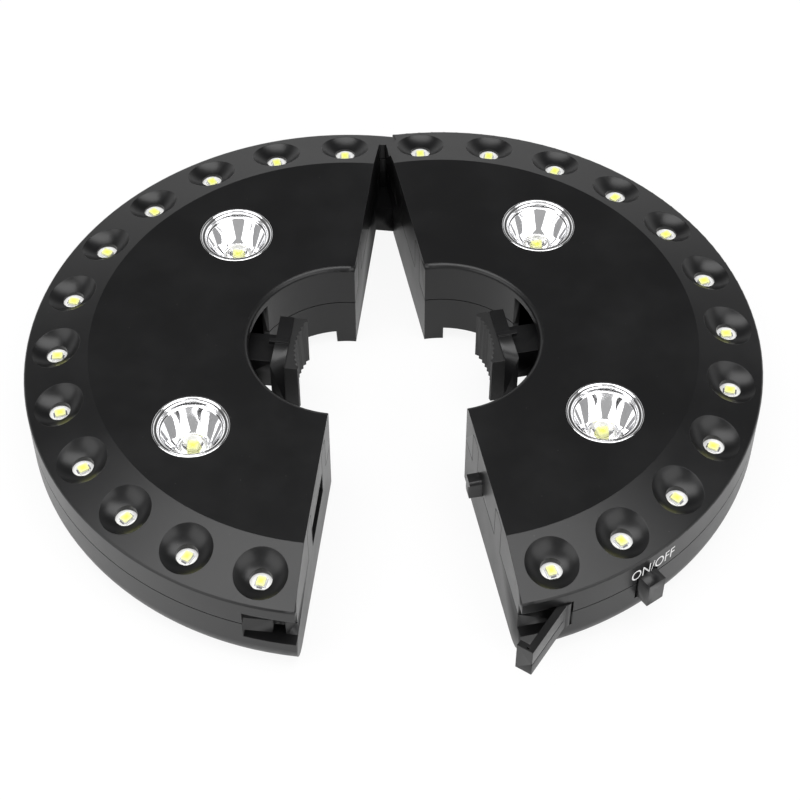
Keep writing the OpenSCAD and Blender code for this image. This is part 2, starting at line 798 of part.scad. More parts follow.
module hook()
    color(dark) translate([-hook_x, hook_y0, 0]) {
        translate([0, 0, hook_z - hook_t / 2]) linear_extrude(hook_t) {
            translate([-curl_out, -hook_len]) square([hook_w, hook_len - 1]);
            difference() {
                translate([0, -hook_len]) circle(r = curl_out, $fn = 64);
                translate([0, -hook_len]) circle(r = curl_out - hook_w, $fn = 64);
                translate([-curl_out - 1, -hook_len]) square([2 * curl_out + 2, curl_out + 1]);
            }
            translate([curl_out - hook_w, -hook_len - eps]) square([hook_w, 2.5]);
        }
        translate([-curl_out, 0, hook_z]) rotate([0, 90, 0]) cylinder(r = hook_t / 2, h = hook_w, $fn = 48);
        translate([-curl_out - recess_gap - 0.9, 0, hook_z]) rotate([0, 90, 0])
            cylinder(r = hook_pin_r, h = hook_w + 2 * recess_gap + 1.8, $fn = 32);
    }

// ---------------------------------------------------------------- fasteners

module cover_screws()
    color(steel) screw_places() {
        difference() {
            translate([0, 0, well_z - screw_head_h]) cylinder(r = screw_head_r, h = screw_head_h, $fn = 48);
            for (a = [0, 90]) rotate([0, 0, a])
                block(-1.7, 1.7, -0.35, 0.35, well_z - screw_head_h - 1, well_z - screw_head_h + 0.9);
        }
        translate([0, 0, well_z - eps]) cylinder(r = screw_r, h = screw_len, $fn = 32);
    }

module hinge_pin()
    color(steel) hinge_axis() translate([0, 0, pin_z0]) cylinder(r = pin_r, h = pin_z1 - pin_z0);

// ---------------------------------------------------------------- latch

module at_latch_pin() translate([latch_pin_pos[0], latch_pin_pos[1], 0]) children();

module latch_lever() {
    z0 = slot_z0 + slot_gap;
    ridge = 0.35;
    color(dark) at_latch_pin() rotate([0, 0, -latch_tilt - latch_open]) translate([0, 0, z0])
        difference() {
            union() {
                cylinder(r = barrel_r, h = latch_h, $fn = 48);
                block(0, latch_len, -latch_t / 2, latch_t / 2, 0, latch_h);
                block(latch_len - hook_t0, latch_len, 0, hook_reach, 0, latch_h);
            }
            translate([0, 0, -1]) cylinder(r = latch_pin_r + pin_gap, h = latch_h + 2, $fn = 32);
            block(barrel_r + 1, latch_len + 1, -latch_t, -latch_t / 2 + ridge,
                latch_h * 0.42, latch_h * 0.42 + 0.6);
            block(latch_len - 1.1, latch_len - 0.6, latch_t / 2 - 0.6, latch_t / 2 + 0.3, -1, latch_h + 1);
        }
}

module latch_pin_hole()
    at_latch_pin() translate([0, 0, slot_z0 - 1])
        cylinder(r = latch_pin_r, h = slot_z1 - slot_z0 + 2, $fn = 32);

module latch_pin()
    color(steel) at_latch_pin() translate([0, 0, slot_z0 - 1])
        cylinder(r = latch_pin_r, h = slot_z1 - slot_z0 + 2, $fn = 32);

// ---------------------------------------------------------------- alignment peg

module peg_section(clear) {                  // a rounded block, drawn with X along the height
    size = [peg_z[1] - peg_z[0] + 2 * clear, peg_y[1] - peg_y[0] + 2 * clear];
    translate([-peg_z[1] - clear, peg_y[0] - clear]) {
        translate([peg_corner, 0]) square([size[0] - 2 * peg_corner, size[1]]);
        translate([0, peg_corner]) square([size[0], size[1] - 2 * peg_corner]);
        for (x = [peg_corner, size[0] - peg_corner], y = [peg_corner, size[1] - peg_corner])
            translate([x, y]) circle(r = peg_corner, $fn = 48);
    }
}

module peg_body(clear, x0, x1)
    translate([x0, 0, 0]) rotate([0, 90, 0]) linear_extrude(x1 - x0) peg_section(clear);

module peg_hole() peg_body(fit_gap, -mate_gap - wall - 4, peg_out);

module alignment_peg()
    color(dark) {
        peg_body(0, -mate_gap - wall - 0.3, peg_out - mate_gap);
        peg_body(peg_flange, -mate_gap - wall - 1.8, -mate_gap - wall - 0.2);
    }

// ---------------------------------------------------------------- switch

module button_hole()
    at_switch() block(outer_r - wall - 2, far, -button_w / 2 - 1, button_w / 2 + 1,
        button_z - gap, button_z + button_h + gap);

module switch_button()
    color(dark) at_switch() {
        block(outer_r - button_in, outer_r + button_out, -button_w / 2, button_w / 2,
            button_z, button_z + button_h);
        block(outer_r - wall - 0.5 - button_flange_t, outer_r - wall - 0.5,
            -button_w / 2 - flange_w, button_w / 2 + flange_w,
            button_z - flange_w, button_z + button_h + flange_w);
    }

module switch_body()
    color([0.2, 0.2, 0.22]) at_switch() translate([0, 0, control_z + control_size[2]]) {
        block(switch_r1 - switch_size[1], switch_r1, -switch_size[0] / 2, switch_size[0] / 2,
            0, switch_size[2]);
        translate([switch_r1 - 0.1, 0, switch_size[2] / 2]) rotate([0, 90, 0])
            cylinder(r = 1.6, h = 1, $fn = 32);
    }

module control_board()
    color([0.1, 0.35, 0.18]) at_switch()
        block(control_r1 - control_size[1], control_r1, -control_size[0] / 2, control_size[0] / 2,
            control_z, control_z + control_size[2]);

module control_posts()
    at_switch() for (x = [control_r1 - control_size[1] + 3, control_r1 - 4], y = [-1, 1])
        translate([x, y * (control_size[0] / 2 - 3), wall - eps])
            cylinder(r = control_post_r, h = control_z - wall + eps, $fn = 32);

// ---------------------------------------------------------------- the nodes

front_cover("left");  // left_front_cover
rear_cover("left");  // left_rear_cover
ring_board();  // left_led_board
ring_leds();  // left_ring_leds
spot_boards();  // left_spot_boards
spot_leds();  // left_spot_leds
reflectors();  // left_reflectors
jaw();  // left_jaw
jaw_pad();  // left_jaw_pad
jaw_guide();  // left_jaw_guide
jaw_spring();  // left_jaw_spring
battery_tray();  // left_battery_tray
batteries();  // left_batteries
battery_contacts();  // left_battery_contacts
battery_door();  // left_battery_door
cover_screws();  // left_cover_screws
hook();  // left_hook
leads();  // left_leads
hinge_pin();
place_right() front_cover("right");  // right_front_cover
place_right() rear_cover("right");  // right_rear_cover
place_right() ring_board();  // right_led_board
place_right() ring_leds();  // right_ring_leds
place_right() spot_boards();  // right_spot_boards
place_right() spot_leds();  // right_spot_leds
place_right() reflectors();  // right_reflectors
place_right() jaw();  // right_jaw
place_right() jaw_pad();  // right_jaw_pad
place_right() jaw_guide();  // right_jaw_guide
place_right() jaw_spring();  // right_jaw_spring
place_right() battery_tray();  // right_battery_tray
place_right() batteries();  // right_batteries
place_right() battery_contacts();  // right_battery_contacts
place_right() battery_door();  // right_battery_door
place_right() cover_screws();  // right_cover_screws
place_right() hook();  // right_hook
place_right() leads();  // right_leads
place_right() latch_lever();
place_right() latch_pin();
place_right() alignment_peg();
place_right() switch_button();
place_right() switch_body();
place_right() control_board();
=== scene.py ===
# %% [markdown]
# # A clip-on light for a patio umbrella
# The real light is two hinged half discs of black moulded plastic. They close round the
# umbrella's pole, and a latch at the front keeps them shut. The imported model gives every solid
# piece and the way it moves. This script adds what the solids leave out: smooth lenses and
# mirrors, small lamps, lettering, and the finish of each material.

# %% Load the frame
import json
import math

import bmesh
import bpy
from mathutils import Matrix, Vector


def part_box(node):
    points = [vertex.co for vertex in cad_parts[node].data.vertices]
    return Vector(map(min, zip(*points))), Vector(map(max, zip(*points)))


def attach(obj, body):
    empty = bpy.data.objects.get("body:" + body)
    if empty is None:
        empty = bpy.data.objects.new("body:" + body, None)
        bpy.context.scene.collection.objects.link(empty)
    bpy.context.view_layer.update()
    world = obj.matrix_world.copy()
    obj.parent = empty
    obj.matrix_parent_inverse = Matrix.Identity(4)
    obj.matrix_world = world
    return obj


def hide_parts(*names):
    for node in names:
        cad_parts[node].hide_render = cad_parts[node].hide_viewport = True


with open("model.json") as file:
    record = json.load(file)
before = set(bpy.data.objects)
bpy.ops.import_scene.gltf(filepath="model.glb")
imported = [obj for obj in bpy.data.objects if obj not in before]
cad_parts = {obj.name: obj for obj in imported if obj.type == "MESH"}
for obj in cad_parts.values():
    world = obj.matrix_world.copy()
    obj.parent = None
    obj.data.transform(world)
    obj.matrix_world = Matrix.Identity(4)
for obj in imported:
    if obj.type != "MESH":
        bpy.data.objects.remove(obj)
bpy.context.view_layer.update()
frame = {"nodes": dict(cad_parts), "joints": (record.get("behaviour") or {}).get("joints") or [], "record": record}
nodes = frame["nodes"]
record = frame["record"]
slot_of = {entry["node"]: entry["material_slot"] for entry in record["subparts"]}
MM = 0.001

# %% [markdown]
# ## Where the right half lies
# Both halves are the same shape. The right one is the left one mirrored, then swung out about
# the hinge by the angle at which the light stands open. The hinge joint in the frame gives the
# axis, and the low end of its range is the swing that closes it.

# %% Place pieces on either half
hinge = next(j for j in frame["joints"] if j["name"] == "halves_hinge")
HINGE = Vector(hinge["pos_m"])
OPEN_ANGLE = -math.radians(hinge["range_deg"][0])
HALVES = {
    "left": Matrix.Identity(4),
    "right": (
        Matrix.Translation(HINGE)
        @ Matrix.Rotation(OPEN_ANGLE, 4, "Z")
        @ Matrix.Translation(-HINGE)
        @ Matrix.Scale(-1, 4, (1, 0, 0))
    ),
}
print("open by", round(math.degrees(OPEN_ANGLE), 1), "degrees")


def finish_mesh(bm, name, body, material, side="left", smooth_angle=35, replaces=()):
    """Turns a finished bmesh into a piece that rides on a body."""
    bmesh.ops.transform(bm, matrix=HALVES[side], verts=bm.verts)
    bmesh.ops.remove_doubles(bm, verts=bm.verts, dist=1e-7)
    bmesh.ops.recalc_face_normals(bm, faces=bm.faces)
    mesh = bpy.data.meshes.new(name)
    bm.to_mesh(mesh)
    bm.free()
    mesh.shade_smooth()
    mesh.set_sharp_from_angle(angle=math.radians(smooth_angle))
    piece = bpy.data.objects.new(name, mesh)
    bpy.context.scene.collection.objects.link(piece)
    mesh.materials.append(material)
    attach(piece, body)
    for node in replaces:
        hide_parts(node)
    return piece


# %% [markdown]
# ## Shared effects
# The same small faults of real plastic show on many pieces: a fine grain from the mould, dust
# that has settled, and faint smudges. Each is a node group, built once, so that every material
# can use it at its own strength.

# %% Node helpers


def new_group(name, inputs, outputs):
    """An empty shader group with named float inputs and named outputs."""
    group = bpy.data.node_groups.new(name, "ShaderNodeTree")
    for label, value in inputs.items():
        socket = group.interface.new_socket(label, in_out="INPUT", socket_type="NodeSocketFloat")
        socket.default_value = value
    for label in outputs:
        group.interface.new_socket(label, in_out="OUTPUT", socket_type="NodeSocketFloat")
    return group, group.nodes.new("NodeGroupInput"), group.nodes.new("NodeGroupOutput")


def math_node(tree, operation, first, second, clamp=False):
    """A Math node whose inputs are sockets or numbers."""
    node = tree.nodes.new("ShaderNodeMath")
    node.operation = operation
    node.use_clamp = clamp
    for socket, value in zip(node.inputs, (first, second)):
        if hasattr(value, "is_linked"):
            tree.links.new(value, socket)
        else:
            socket.default_value = value
    return node.outputs[0]


def noise_node(tree, scale, detail=2.0, roughness=0.5):
    """Noise on Object coordinates, with its scale per metre."""
    place = tree.nodes.new("ShaderNodeTexCoord")
    noise = tree.nodes.new("ShaderNodeTexNoise")
    tree.links.new(place.outputs["Object"], noise.inputs["Vector"])
    if hasattr(scale, "is_linked"):
        tree.links.new(scale, noise.inputs["Scale"])
    else:
        noise.inputs["Scale"].default_value = scale
    noise.inputs["Detail"].default_value = detail
    noise.inputs["Roughness"].default_value = roughness
    return noise.outputs["Fac"]


# %% Mould grain
GRAIN, grain_in, grain_out = new_group("Mould grain", {"Scale": 2600.0}, ["Height"])
fine = noise_node(GRAIN, grain_in.outputs["Scale"], detail=3.0, roughness=0.7)
wide = noise_node(GRAIN, 420.0, detail=2.0)
mixed = math_node(GRAIN, "ADD", fine, math_node(GRAIN, "MULTIPLY", wide, 0.35))
GRAIN.links.new(mixed, grain_out.inputs["Height"])

# %% Dust specks
SPECK_SIZE = 0.12          # how much of its cell a speck fills
SPECK_SHARE = 0.22         # share of the cells that hold a speck, at full amount
SPECK_STRENGTH = 0.6       # how far the palest speck covers the plastic
DUST, dust_in, dust_out = new_group("Dust", {"Amount": 0.5, "Scale": 800.0}, ["Mask"])
place = DUST.nodes.new("ShaderNodeTexCoord")
cells = DUST.nodes.new("ShaderNodeTexVoronoi")
DUST.links.new(place.outputs["Object"], cells.inputs["Vector"])
DUST.links.new(dust_in.outputs["Scale"], cells.inputs["Scale"])
near = math_node(DUST, "LESS_THAN", cells.outputs["Distance"], SPECK_SIZE)
pick = DUST.nodes.new("ShaderNodeSeparateColor")
DUST.links.new(cells.outputs["Color"], pick.inputs["Color"])
share = math_node(DUST, "MULTIPLY", dust_in.outputs["Amount"], SPECK_SHARE)
chosen = math_node(DUST, "LESS_THAN", pick.outputs["Red"], share)
strength = math_node(DUST, "MULTIPLY", pick.outputs["Green"], SPECK_STRENGTH)
speck = math_node(DUST, "MULTIPLY", near, chosen)
DUST.links.new(math_node(DUST, "MULTIPLY", speck, strength), dust_out.inputs["Mask"])

# %% Smudges
SMUDGE_FROM = 0.42         # noise below this is clean
SMUDGE_TO = 0.7            # and above this fully smudged
SMUDGE, smudge_in, smudge_out = new_group("Smudges", {"Scale": 38.0}, ["Mask"])
cloud = noise_node(SMUDGE, smudge_in.outputs["Scale"], detail=5.0, roughness=0.6)
level = SMUDGE.nodes.new("ShaderNodeMapRange")
level.inputs["From Min"].default_value = SMUDGE_FROM
level.inputs["From Max"].default_value = SMUDGE_TO
SMUDGE.links.new(cloud, level.inputs["Value"])
SMUDGE.links.new(level.outputs["Result"], smudge_out.inputs["Mask"])
print("effects:", [g.name for g in (GRAIN, DUST, SMUDGE)])

# %% [markdown]
# ## Moulded plastic
# The housing is ABS from a lightly textured mould. It is nearly black, but its fine grain spreads
# the light, so the flat face looks dark grey and the edges catch soft highlights. One function
# makes each plastic, because they differ only in tone, gloss and grain.

# %% Plastics
GRAIN_HEIGHT = 0.04 * MM
DUST_COLOR = (0.10, 0.098, 0.092)


def add_group(tree, group, **values):
    """A use of a group, with its inputs set. Returns its only output."""
    node = tree.nodes.new("ShaderNodeGroup")
    node.node_tree = group
    for label, value in values.items():
        node.inputs[label].default_value = value
    return node.outputs[0]


def blend_colors(tree, mask, first, second):
    """Mixes two colours, each a socket or a tuple, by a mask."""
    mix = tree.nodes.new("ShaderNodeMix")
    mix.data_type = "RGBA"
    tree.links.new(mask, mix.inputs["Factor"])
    for label, value in (("A", first), ("B", second)):
        socket = next(s for s in mix.inputs if s.name == label and s.type == "RGBA")
        if hasattr(value, "is_linked"):
            tree.links.new(value, socket)
        else:
            socket.default_value = (*value, 1)
    return next(s for s in mix.outputs if s.type == "RGBA")


def map_range(tree, value, low, high):
    """Stretches a value of 0 to 1 to the range from low to high."""
    node = tree.nodes.new("ShaderNodeMapRange")
    tree.links.new(value, node.inputs["Value"])
    node.inputs["To Min"].default_value = low
    node.inputs["To Max"].default_value = high
    return node.outputs["Result"]


def moulded_plastic(name, color, roughness, grain=0.2, grain_scale=2600.0, dust=0.1,
                    edge_radius=0.25 * MM, specular=0.5):
    """Plastic with mould grain, smudges, dust and edges that a mould has rounded."""
    material = bpy.data.materials.new(name)
    material.use_nodes = True
    tree = material.node_tree
    shader = tree.nodes["Principled BSDF"]
    shader.inputs["Specular IOR Level"].default_value = specular
    smudges = add_group(tree, SMUDGE)
    pale = tuple(c * 1.25 + 0.0006 for c in color)
    tone = blend_colors(tree, smudges, color, pale)
    if dust:
        specks = add_group(tree, DUST, Amount=dust)
        tone = blend_colors(tree, specks, tone, DUST_COLOR)
    tree.links.new(tone, shader.inputs["Base Color"])
    gloss = map_range(tree, smudges, roughness, roughness + 0.05)
    tree.links.new(gloss, shader.inputs["Roughness"])
    bump = tree.nodes.new("ShaderNodeBump")
    bump.inputs["Strength"].default_value = grain
    bump.inputs["Distance"].default_value = GRAIN_HEIGHT
    tree.links.new(add_group(tree, GRAIN, Scale=grain_scale), bump.inputs["Height"])
    if edge_radius:
        rounded = tree.nodes.new("ShaderNodeBevel")
        rounded.samples = 4
        rounded.inputs["Radius"].default_value = edge_radius
        tree.links.new(rounded.outputs["Normal"], bump.inputs["Normal"])
    tree.links.new(bump.outputs["Normal"], shader.inputs["Normal"])
    return material


housing_plastic = moulded_plastic("Housing plastic", (0.0052, 0.0052, 0.0055), 0.31, specular=0.4)
lever_plastic = moulded_plastic("Lever plastic", (0.0058, 0.0058, 0.0061), 0.30, grain=0.15,
                                specular=0.42)
pad_rubber = moulded_plastic("Pad rubber", (0.009, 0.009, 0.0092), 0.5, grain=0.3)
inner_plastic = moulded_plastic("Inner plastic", (0.03, 0.03, 0.032), 0.45, dust=0)

# %% [markdown]
# ## Metal, mirror and wiring
# The reflectors are plastic with a coat of bright metal, so they are as clear as a mirror, with
# only faint ripples from the moulding. The screws, pins and springs are plain steel wire and
# bar, with fine lines from drawing.

# %% Metals
RIPPLE_HEIGHT = 0.1 * MM


def metal(name, color, roughness, ripple_scale, ripple, streak=0.0):
    """Bare or coated metal, with smudges and fine ripples. Streaks make it duller in places."""
    material = bpy.data.materials.new(name)
    material.use_nodes = True
    tree = material.node_tree
    shader = tree.nodes["Principled BSDF"]
    shader.inputs["Metallic"].default_value = 1.0
    smudges = add_group(tree, SMUDGE, Scale=120.0)
    dull = tuple(c * 0.9 for c in color)
    tree.links.new(blend_colors(tree, smudges, color, dull), shader.inputs["Base Color"])
    gloss = map_range(tree, smudges, roughness, roughness + 0.05 + streak)
    tree.links.new(gloss, shader.inputs["Roughness"])
    bump = tree.nodes.new("ShaderNodeBump")
    bump.inputs["Strength"].default_value = ripple
    bump.inputs["Distance"].default_value = RIPPLE_HEIGHT
    tree.links.new(noise_node(tree, ripple_scale), bump.inputs["Height"])
    tree.links.new(bump.outputs["Normal"], shader.inputs["Normal"])
    return material


mirror_coat = metal("Mirror coat", (0.93, 0.93, 0.94), 0.04, 160.0, 0.06)
steel = metal("Steel", (0.62, 0.62, 0.63), 0.28, 1800.0, 0.15, streak=0.1)

# %% [markdown]
# ## Lamps, boards and batteries
# A white lamp is a blue chip under a yellow phosphor, so its face is lemon yellow when it is
# off. It sits in a white frame on a white board. The spotlights have the same chip under a dome
# of clear resin.

# %% Lamp and board finishes


def plain_finish(name, color, roughness, vary=0.08, scale=600.0, transmission=0.0, ior=1.45):
    """A small smooth part, with a little unevenness in tone."""
    material = bpy.data.materials.new(name)
    material.use_nodes = True
    tree = material.node_tree
    shader = tree.nodes["Principled BSDF"]
    shader.inputs["IOR"].default_value = ior
    shader.inputs["Transmission Weight"].default_value = transmission
    uneven = noise_node(tree, scale)
    darker = tuple(c * (1 - vary) for c in color)
    tree.links.new(blend_colors(tree, uneven, color, darker), shader.inputs["Base Color"])
    tree.links.new(map_range(tree, uneven, roughness, roughness + 0.08), shader.inputs["Roughness"])
    return material


board_white = plain_finish("White board", (0.93, 0.93, 0.92), 0.4, vary=0.04)
board_green = plain_finish("Green board", (0.03, 0.16, 0.06), 0.35)
lamp_frame = plain_finish("Lamp frame", (0.94, 0.94, 0.90), 0.35, vary=0.04)
clear_resin = plain_finish("Clear resin", (1.0, 1.0, 1.0), 0.12, vary=0.0, transmission=1.0,
                           ior=1.5)
print_ink = plain_finish("Printed letters", (0.78, 0.78, 0.78), 0.5, vary=0.15)
# grey for the strips on the board beside each ring lamp: a painted shadow of the lamp's frame
painted_shadow_grey = plain_finish("Painted lamp shadows", (0.42, 0.42, 0.43), 0.5)
solder = plain_finish("Solder", (0.20, 0.20, 0.21), 0.3)
lead_red = plain_finish("Lead sleeve", (0.42, 0.02, 0.015), 0.4)
sleeve = plain_finish("Battery sleeve", (0.03, 0.11, 0.06), 0.25)

# %% Phosphor
HEART = "heart"            # an attribute: 1 in the middle of a lamp's face, 0 at its edge
HEART_FULL = 1.25          # it stays 1 as far out as this is more than 1, as a share of the reach


def lit_resin(name, edge, middle):
    """Yellow resin that is palest at its edge, where the layer is thin."""
    material = plain_finish(name, middle, 0.4)
    tree = material.node_tree
    shader = tree.nodes["Principled BSDF"]
    heart = tree.nodes.new("ShaderNodeAttribute")
    heart.attribute_name = HEART
    uneven = map_range(tree, noise_node(tree, 900.0), 0.8, 1.1)
    mask = math_node(tree, "MULTIPLY", heart.outputs["Fac"], uneven, clamp=True)
    tree.links.new(blend_colors(tree, mask, edge, middle), shader.inputs["Base Color"])
    return material


phosphor = lit_resin("Phosphor", (0.93, 0.94, 0.52), (0.88, 0.92, 0.12))


def mark_heart(piece, centres, reach):
    """Stores how near each point is to the middle of its own lamp."""
    mesh = piece.data
    heart = mesh.attributes.new(HEART, "FLOAT", "POINT")
    for vert in mesh.vertices:
        nearest = min((vert.co.xy - c.xy).length for c in centres)
        heart.data[vert.index].value = max(0.0, min(1.0, HEART_FULL - nearest / reach))


FINISH = {
    "housing": housing_plastic,
    "dark_plastic": lever_plastic,
    "inner_plastic": inner_plastic,
    "pad": pad_rubber,
    "reflector": mirror_coat,
    "lamp": phosphor,
    "clear_lamp": clear_resin,
    "white_board": board_white,
    "green_board": board_green,
    "steel": steel,
    "battery": sleeve,
    "lead": lead_red,
}

# %% [markdown]
# ## Dress the solids
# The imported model's surfaces are loose triangles. A copy of each node is merged, its gentle
# curves are shaded smooth and its real edges stay sharp, and then it stands in for the node.
# Normals weighted by area keep the large flat faces flat, so they shade evenly. The covers show
# most, so each of their main forms gets its own true normal: flat, cone, ball or cylinder.
# Pieces that get a finer model below are left out here.

# %% Main forms of the covers
FLAT_R = 84.2 * MM
FLAT_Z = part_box("left_front_cover")[1].z
WALL_R = 106.0 * MM
WALL_TOP = 30.6 * MM
SLOPE = math.atan2(FLAT_Z - WALL_TOP, WALL_R - FLAT_R)     # fall of the band round the flat face
RING_R = 95.4 * MM
COUNT = 12
LAMP_ANGLES = [math.pi / 2 + math.pi * (i + 0.5) / COUNT for i in range(COUNT)]
CUP_R = 8.6 * MM           # mouth of a cup
CUP_CURVE = 11.5 * MM      # radius of the ball that hollows it out
NEAR = 0.03 * MM           # a corner this near a form lies on it


def cup_middles():
    """The middle of the ball that hollows out each cup, on the left half."""
    mouth_z = WALL_TOP + (WALL_R - RING_R) * math.tan(SLOPE)
    up = math.sqrt(CUP_CURVE ** 2 - CUP_R ** 2)
    out = RING_R + up * math.sin(SLOPE)
    return [Vector((out * math.cos(a), out * math.sin(a), mouth_z + up * math.cos(SLOPE)))
            for a in LAMP_ANGLES]


def form_normals(corners, facing, middles):
    """The true normals at the corners of a face on a main form of a cover, or None elsewhere."""
    outward = [Vector((c.x, c.y, 0)).normalized() for c in corners]
    radii = [c.xy.length for c in corners]
    if abs(facing.z) > 0.9999:
        return [Vector((0, 0, math.copysign(1, facing.z)))] * len(corners)
    drops = [FLAT_Z - (r - FLAT_R) * math.tan(SLOPE) for r in radii]
    if facing.z > 0.9 and all(abs(c.z - z) < NEAR for c, z in zip(corners, drops)):
        return [o * math.sin(SLOPE) + Vector((0, 0, math.cos(SLOPE))) for o in outward]
    middle = min(middles, key=lambda m: (m - corners[0]).length)
    if all(abs((c - middle).length - CUP_CURVE) < NEAR for c in corners):
        return [(middle - c).normalized() for c in corners]
    across = facing.dot(sum(outward, Vector()).normalized())
    if max(radii) - min(radii) < NEAR and abs(across) > 0.99:
        return [o * math.copysign(1, across) for o in outward]
    return None


def exact_normals(mesh, side):
    """Sets the true normals of a cover's main forms and keeps the others."""
    there = HALVES[side]
    back = there.inverted()
    turn = there.to_3x3()
    places = [back @ v.co for v in mesh.vertices]
    normals = [Vector(n.vector) for n in mesh.corner_normals]
    middles = cup_middles()
    count = 0
    for face in mesh.polygons:
        corners = [places[v] for v in face.vertices]
        found = form_normals(corners, turn.transposed() @ face.normal, middles)
        if found:
            count += 1
            for loop, normal in zip(face.loop_indices, found):
                normals[loop] = turn @ normal
    mesh.normals_split_custom_set(normals)
    return count


# %% Merge and shade each node
REMODELLED = ("ring_leds", "spot_leds", "reflectors")
MERGE_REACH = 0.002 * MM
SHARP_FROM = 28            # degrees


def body_of(node):
    return next(b for b, members in record["behaviour"]["bodies"].items() if node in members)


for node_name, node in nodes.items():
    if node_name.split("_", 1)[1] in REMODELLED:
        continue
    bm = bmesh.new()
    bm.from_mesh(node.data)
    bmesh.ops.remove_doubles(bm, verts=bm.verts, dist=MERGE_REACH)
    mesh = bpy.data.meshes.new(node_name + "_skin")
    bm.to_mesh(mesh)
    bm.free()
    mesh.materials.clear()
    mesh.materials.append(FINISH[slot_of[node_name]])
    mesh.shade_smooth()
    mesh.set_sharp_from_angle(angle=math.radians(SHARP_FROM))
    is_cover = node_name.endswith("_cover")
    if is_cover:
        done = exact_normals(mesh, node_name.split("_")[0])
        print(node_name, "faces with true normals:", done)
    skin = bpy.data.objects.new(node_name + "_skin", mesh)
    bpy.context.scene.collection.objects.link(skin)
    if not is_cover:
        weighted = skin.modifiers.new("Flat faces stay flat", "WEIGHTED_NORMAL")
        weighted.keep_sharp = True
    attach(skin, body_of(node_name))
    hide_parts(node_name)

# %% [markdown]
# ## Reflectors
# Each spotlight sits in a bright bowl with a flat rim, a dark step below it, and then the curved
# mirror. A lathe shape is made by spinning a profile, and the profile is drawn from the node's
# own box, so it fits the seat in the cover.

# %% Spotlight places and heights
SPOT = 43.2 * MM
spot_lo, spot_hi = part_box("left_reflectors")
RIM_R = (spot_hi.x - spot_lo.x) / 2
RIM_Z = spot_hi.z
SPOTS = [Vector((-SPOT, s * SPOT, 0)) for s in (-1, 1)]
print("reflector rim", round(RIM_R * 1000, 2), "mm at height", round(RIM_Z * 1000, 2))


def spun(profile, centre, steps=96, closed=True):
    """A lathe shape from (radius, height) points, in metres, about an upright axis.

    A profile that starts and ends on the axis isn't closed.
    """
    bm = bmesh.new()
    verts = [bm.verts.new((r, 0, z)) for r, z in profile]
    following = verts[1:] + verts[:1] if closed else verts[1:]
    edges = [bm.edges.new(pair) for pair in zip(verts, following)]
    bmesh.ops.spin(
        bm, geom=verts + edges, cent=(0, 0, 0), axis=(0, 0, 1), angle=2 * math.pi,
        steps=steps, use_merge=True, use_duplicate=False)
    bmesh.ops.remove_doubles(bm, verts=bm.verts, dist=1e-7)
    bmesh.ops.recalc_face_normals(bm, faces=bm.faces)
    bmesh.ops.translate(bm, vec=centre, verts=bm.verts)
    return bm


def join_bmeshes(parts):
    """Gathers several bmeshes in one."""
    whole = bmesh.new()
    for part in parts:
        scratch = bpy.data.meshes.new("scratch")
        part.to_mesh(scratch)
        part.free()
        whole.from_mesh(scratch)
        bpy.data.meshes.remove(scratch)
    return whole


# %% Reflector bowls
BOWL_R = 9.9 * MM
NECK_R = 4.6 * MM
STEP_DEPTH = 1.9 * MM      # from the rim's face down to the bowl
BOWL_DEPTH = 9.3 * MM      # from the rim's face down to the neck
NECK_TAIL = 2.0 * MM
SKIN = 0.8 * MM
FLANGE_T = 1.1 * MM
BOWL_STEPS = 32
LIP_STEPS = (              # from the bowl to the rim: how far out and how far up, in mm
    (0.10, 0.04), (0.34, 0.07), (0.50, 0.20), (0.66, 0.80), (0.82, 1.30), (0.96, 1.52),
    (1.16, 1.64), (1.40, 1.66), (1.62, 1.58), (1.78, 1.56), (1.90, 1.68))


def reflector_profile():
    """Half the cut through a reflector: the bowl, the stepped lip, the rim and back underneath."""
    face = RIM_Z - 0.1 * MM
    ledge = face - STEP_DEPTH
    curve = (BOWL_R ** 2 - NECK_R ** 2) / (BOWL_DEPTH - STEP_DEPTH)
    bowl = []
    for i in range(BOWL_STEPS + 1):
        depth = BOWL_DEPTH - (BOWL_DEPTH - STEP_DEPTH) * i / BOWL_STEPS
        bowl.append((math.sqrt(NECK_R ** 2 + curve * (BOWL_DEPTH - depth)), face - depth))
    outside = [(r + SKIN, z - SKIN / 2) for r, z in reversed(bowl[1:-1])]
    lip = [(BOWL_R + out * MM, ledge + up * MM) for out, up in LIP_STEPS]
    top = RIM_R - 0.35 * MM
    return (
        [(NECK_R, face - BOWL_DEPTH - NECK_TAIL)]
        + bowl
        + lip
        + [
            (top - 0.32 * MM, RIM_Z - 0.10 * MM),
            (top - 0.12 * MM, RIM_Z - 0.02 * MM),
            (top, RIM_Z),
            (RIM_R - 0.14 * MM, RIM_Z - 0.05 * MM),
            (RIM_R - 0.03 * MM, RIM_Z - 0.18 * MM),
            (RIM_R, RIM_Z - 0.35 * MM),
            (RIM_R, face - FLANGE_T),
            (RIM_R - 0.7 * MM, face - FLANGE_T),
            (BOWL_R + 0.6 * MM + SKIN, ledge - SKIN / 2),
            (BOWL_R + 0.4 * MM + SKIN, ledge - SKIN),
        ]
        + outside
        + [(NECK_R + SKIN, face - BOWL_DEPTH - NECK_TAIL)]
    )


for side in HALVES:
    bowls = join_bmeshes([spun(reflector_profile(), c) for c in SPOTS])
    finish_mesh(bowls, f"{side}_reflector_bowls", f"{side}_half", mirror_coat,
                side, smooth_angle=50, replaces=[f"{side}_reflectors"])

# %% [markdown]
# ## Spotlight lamps
# A power lamp is a clear resin dome over a yellow chip on a white disc. The dome magnifies the
# chip, so a small chip is modelled under a true lens rather than painted on.

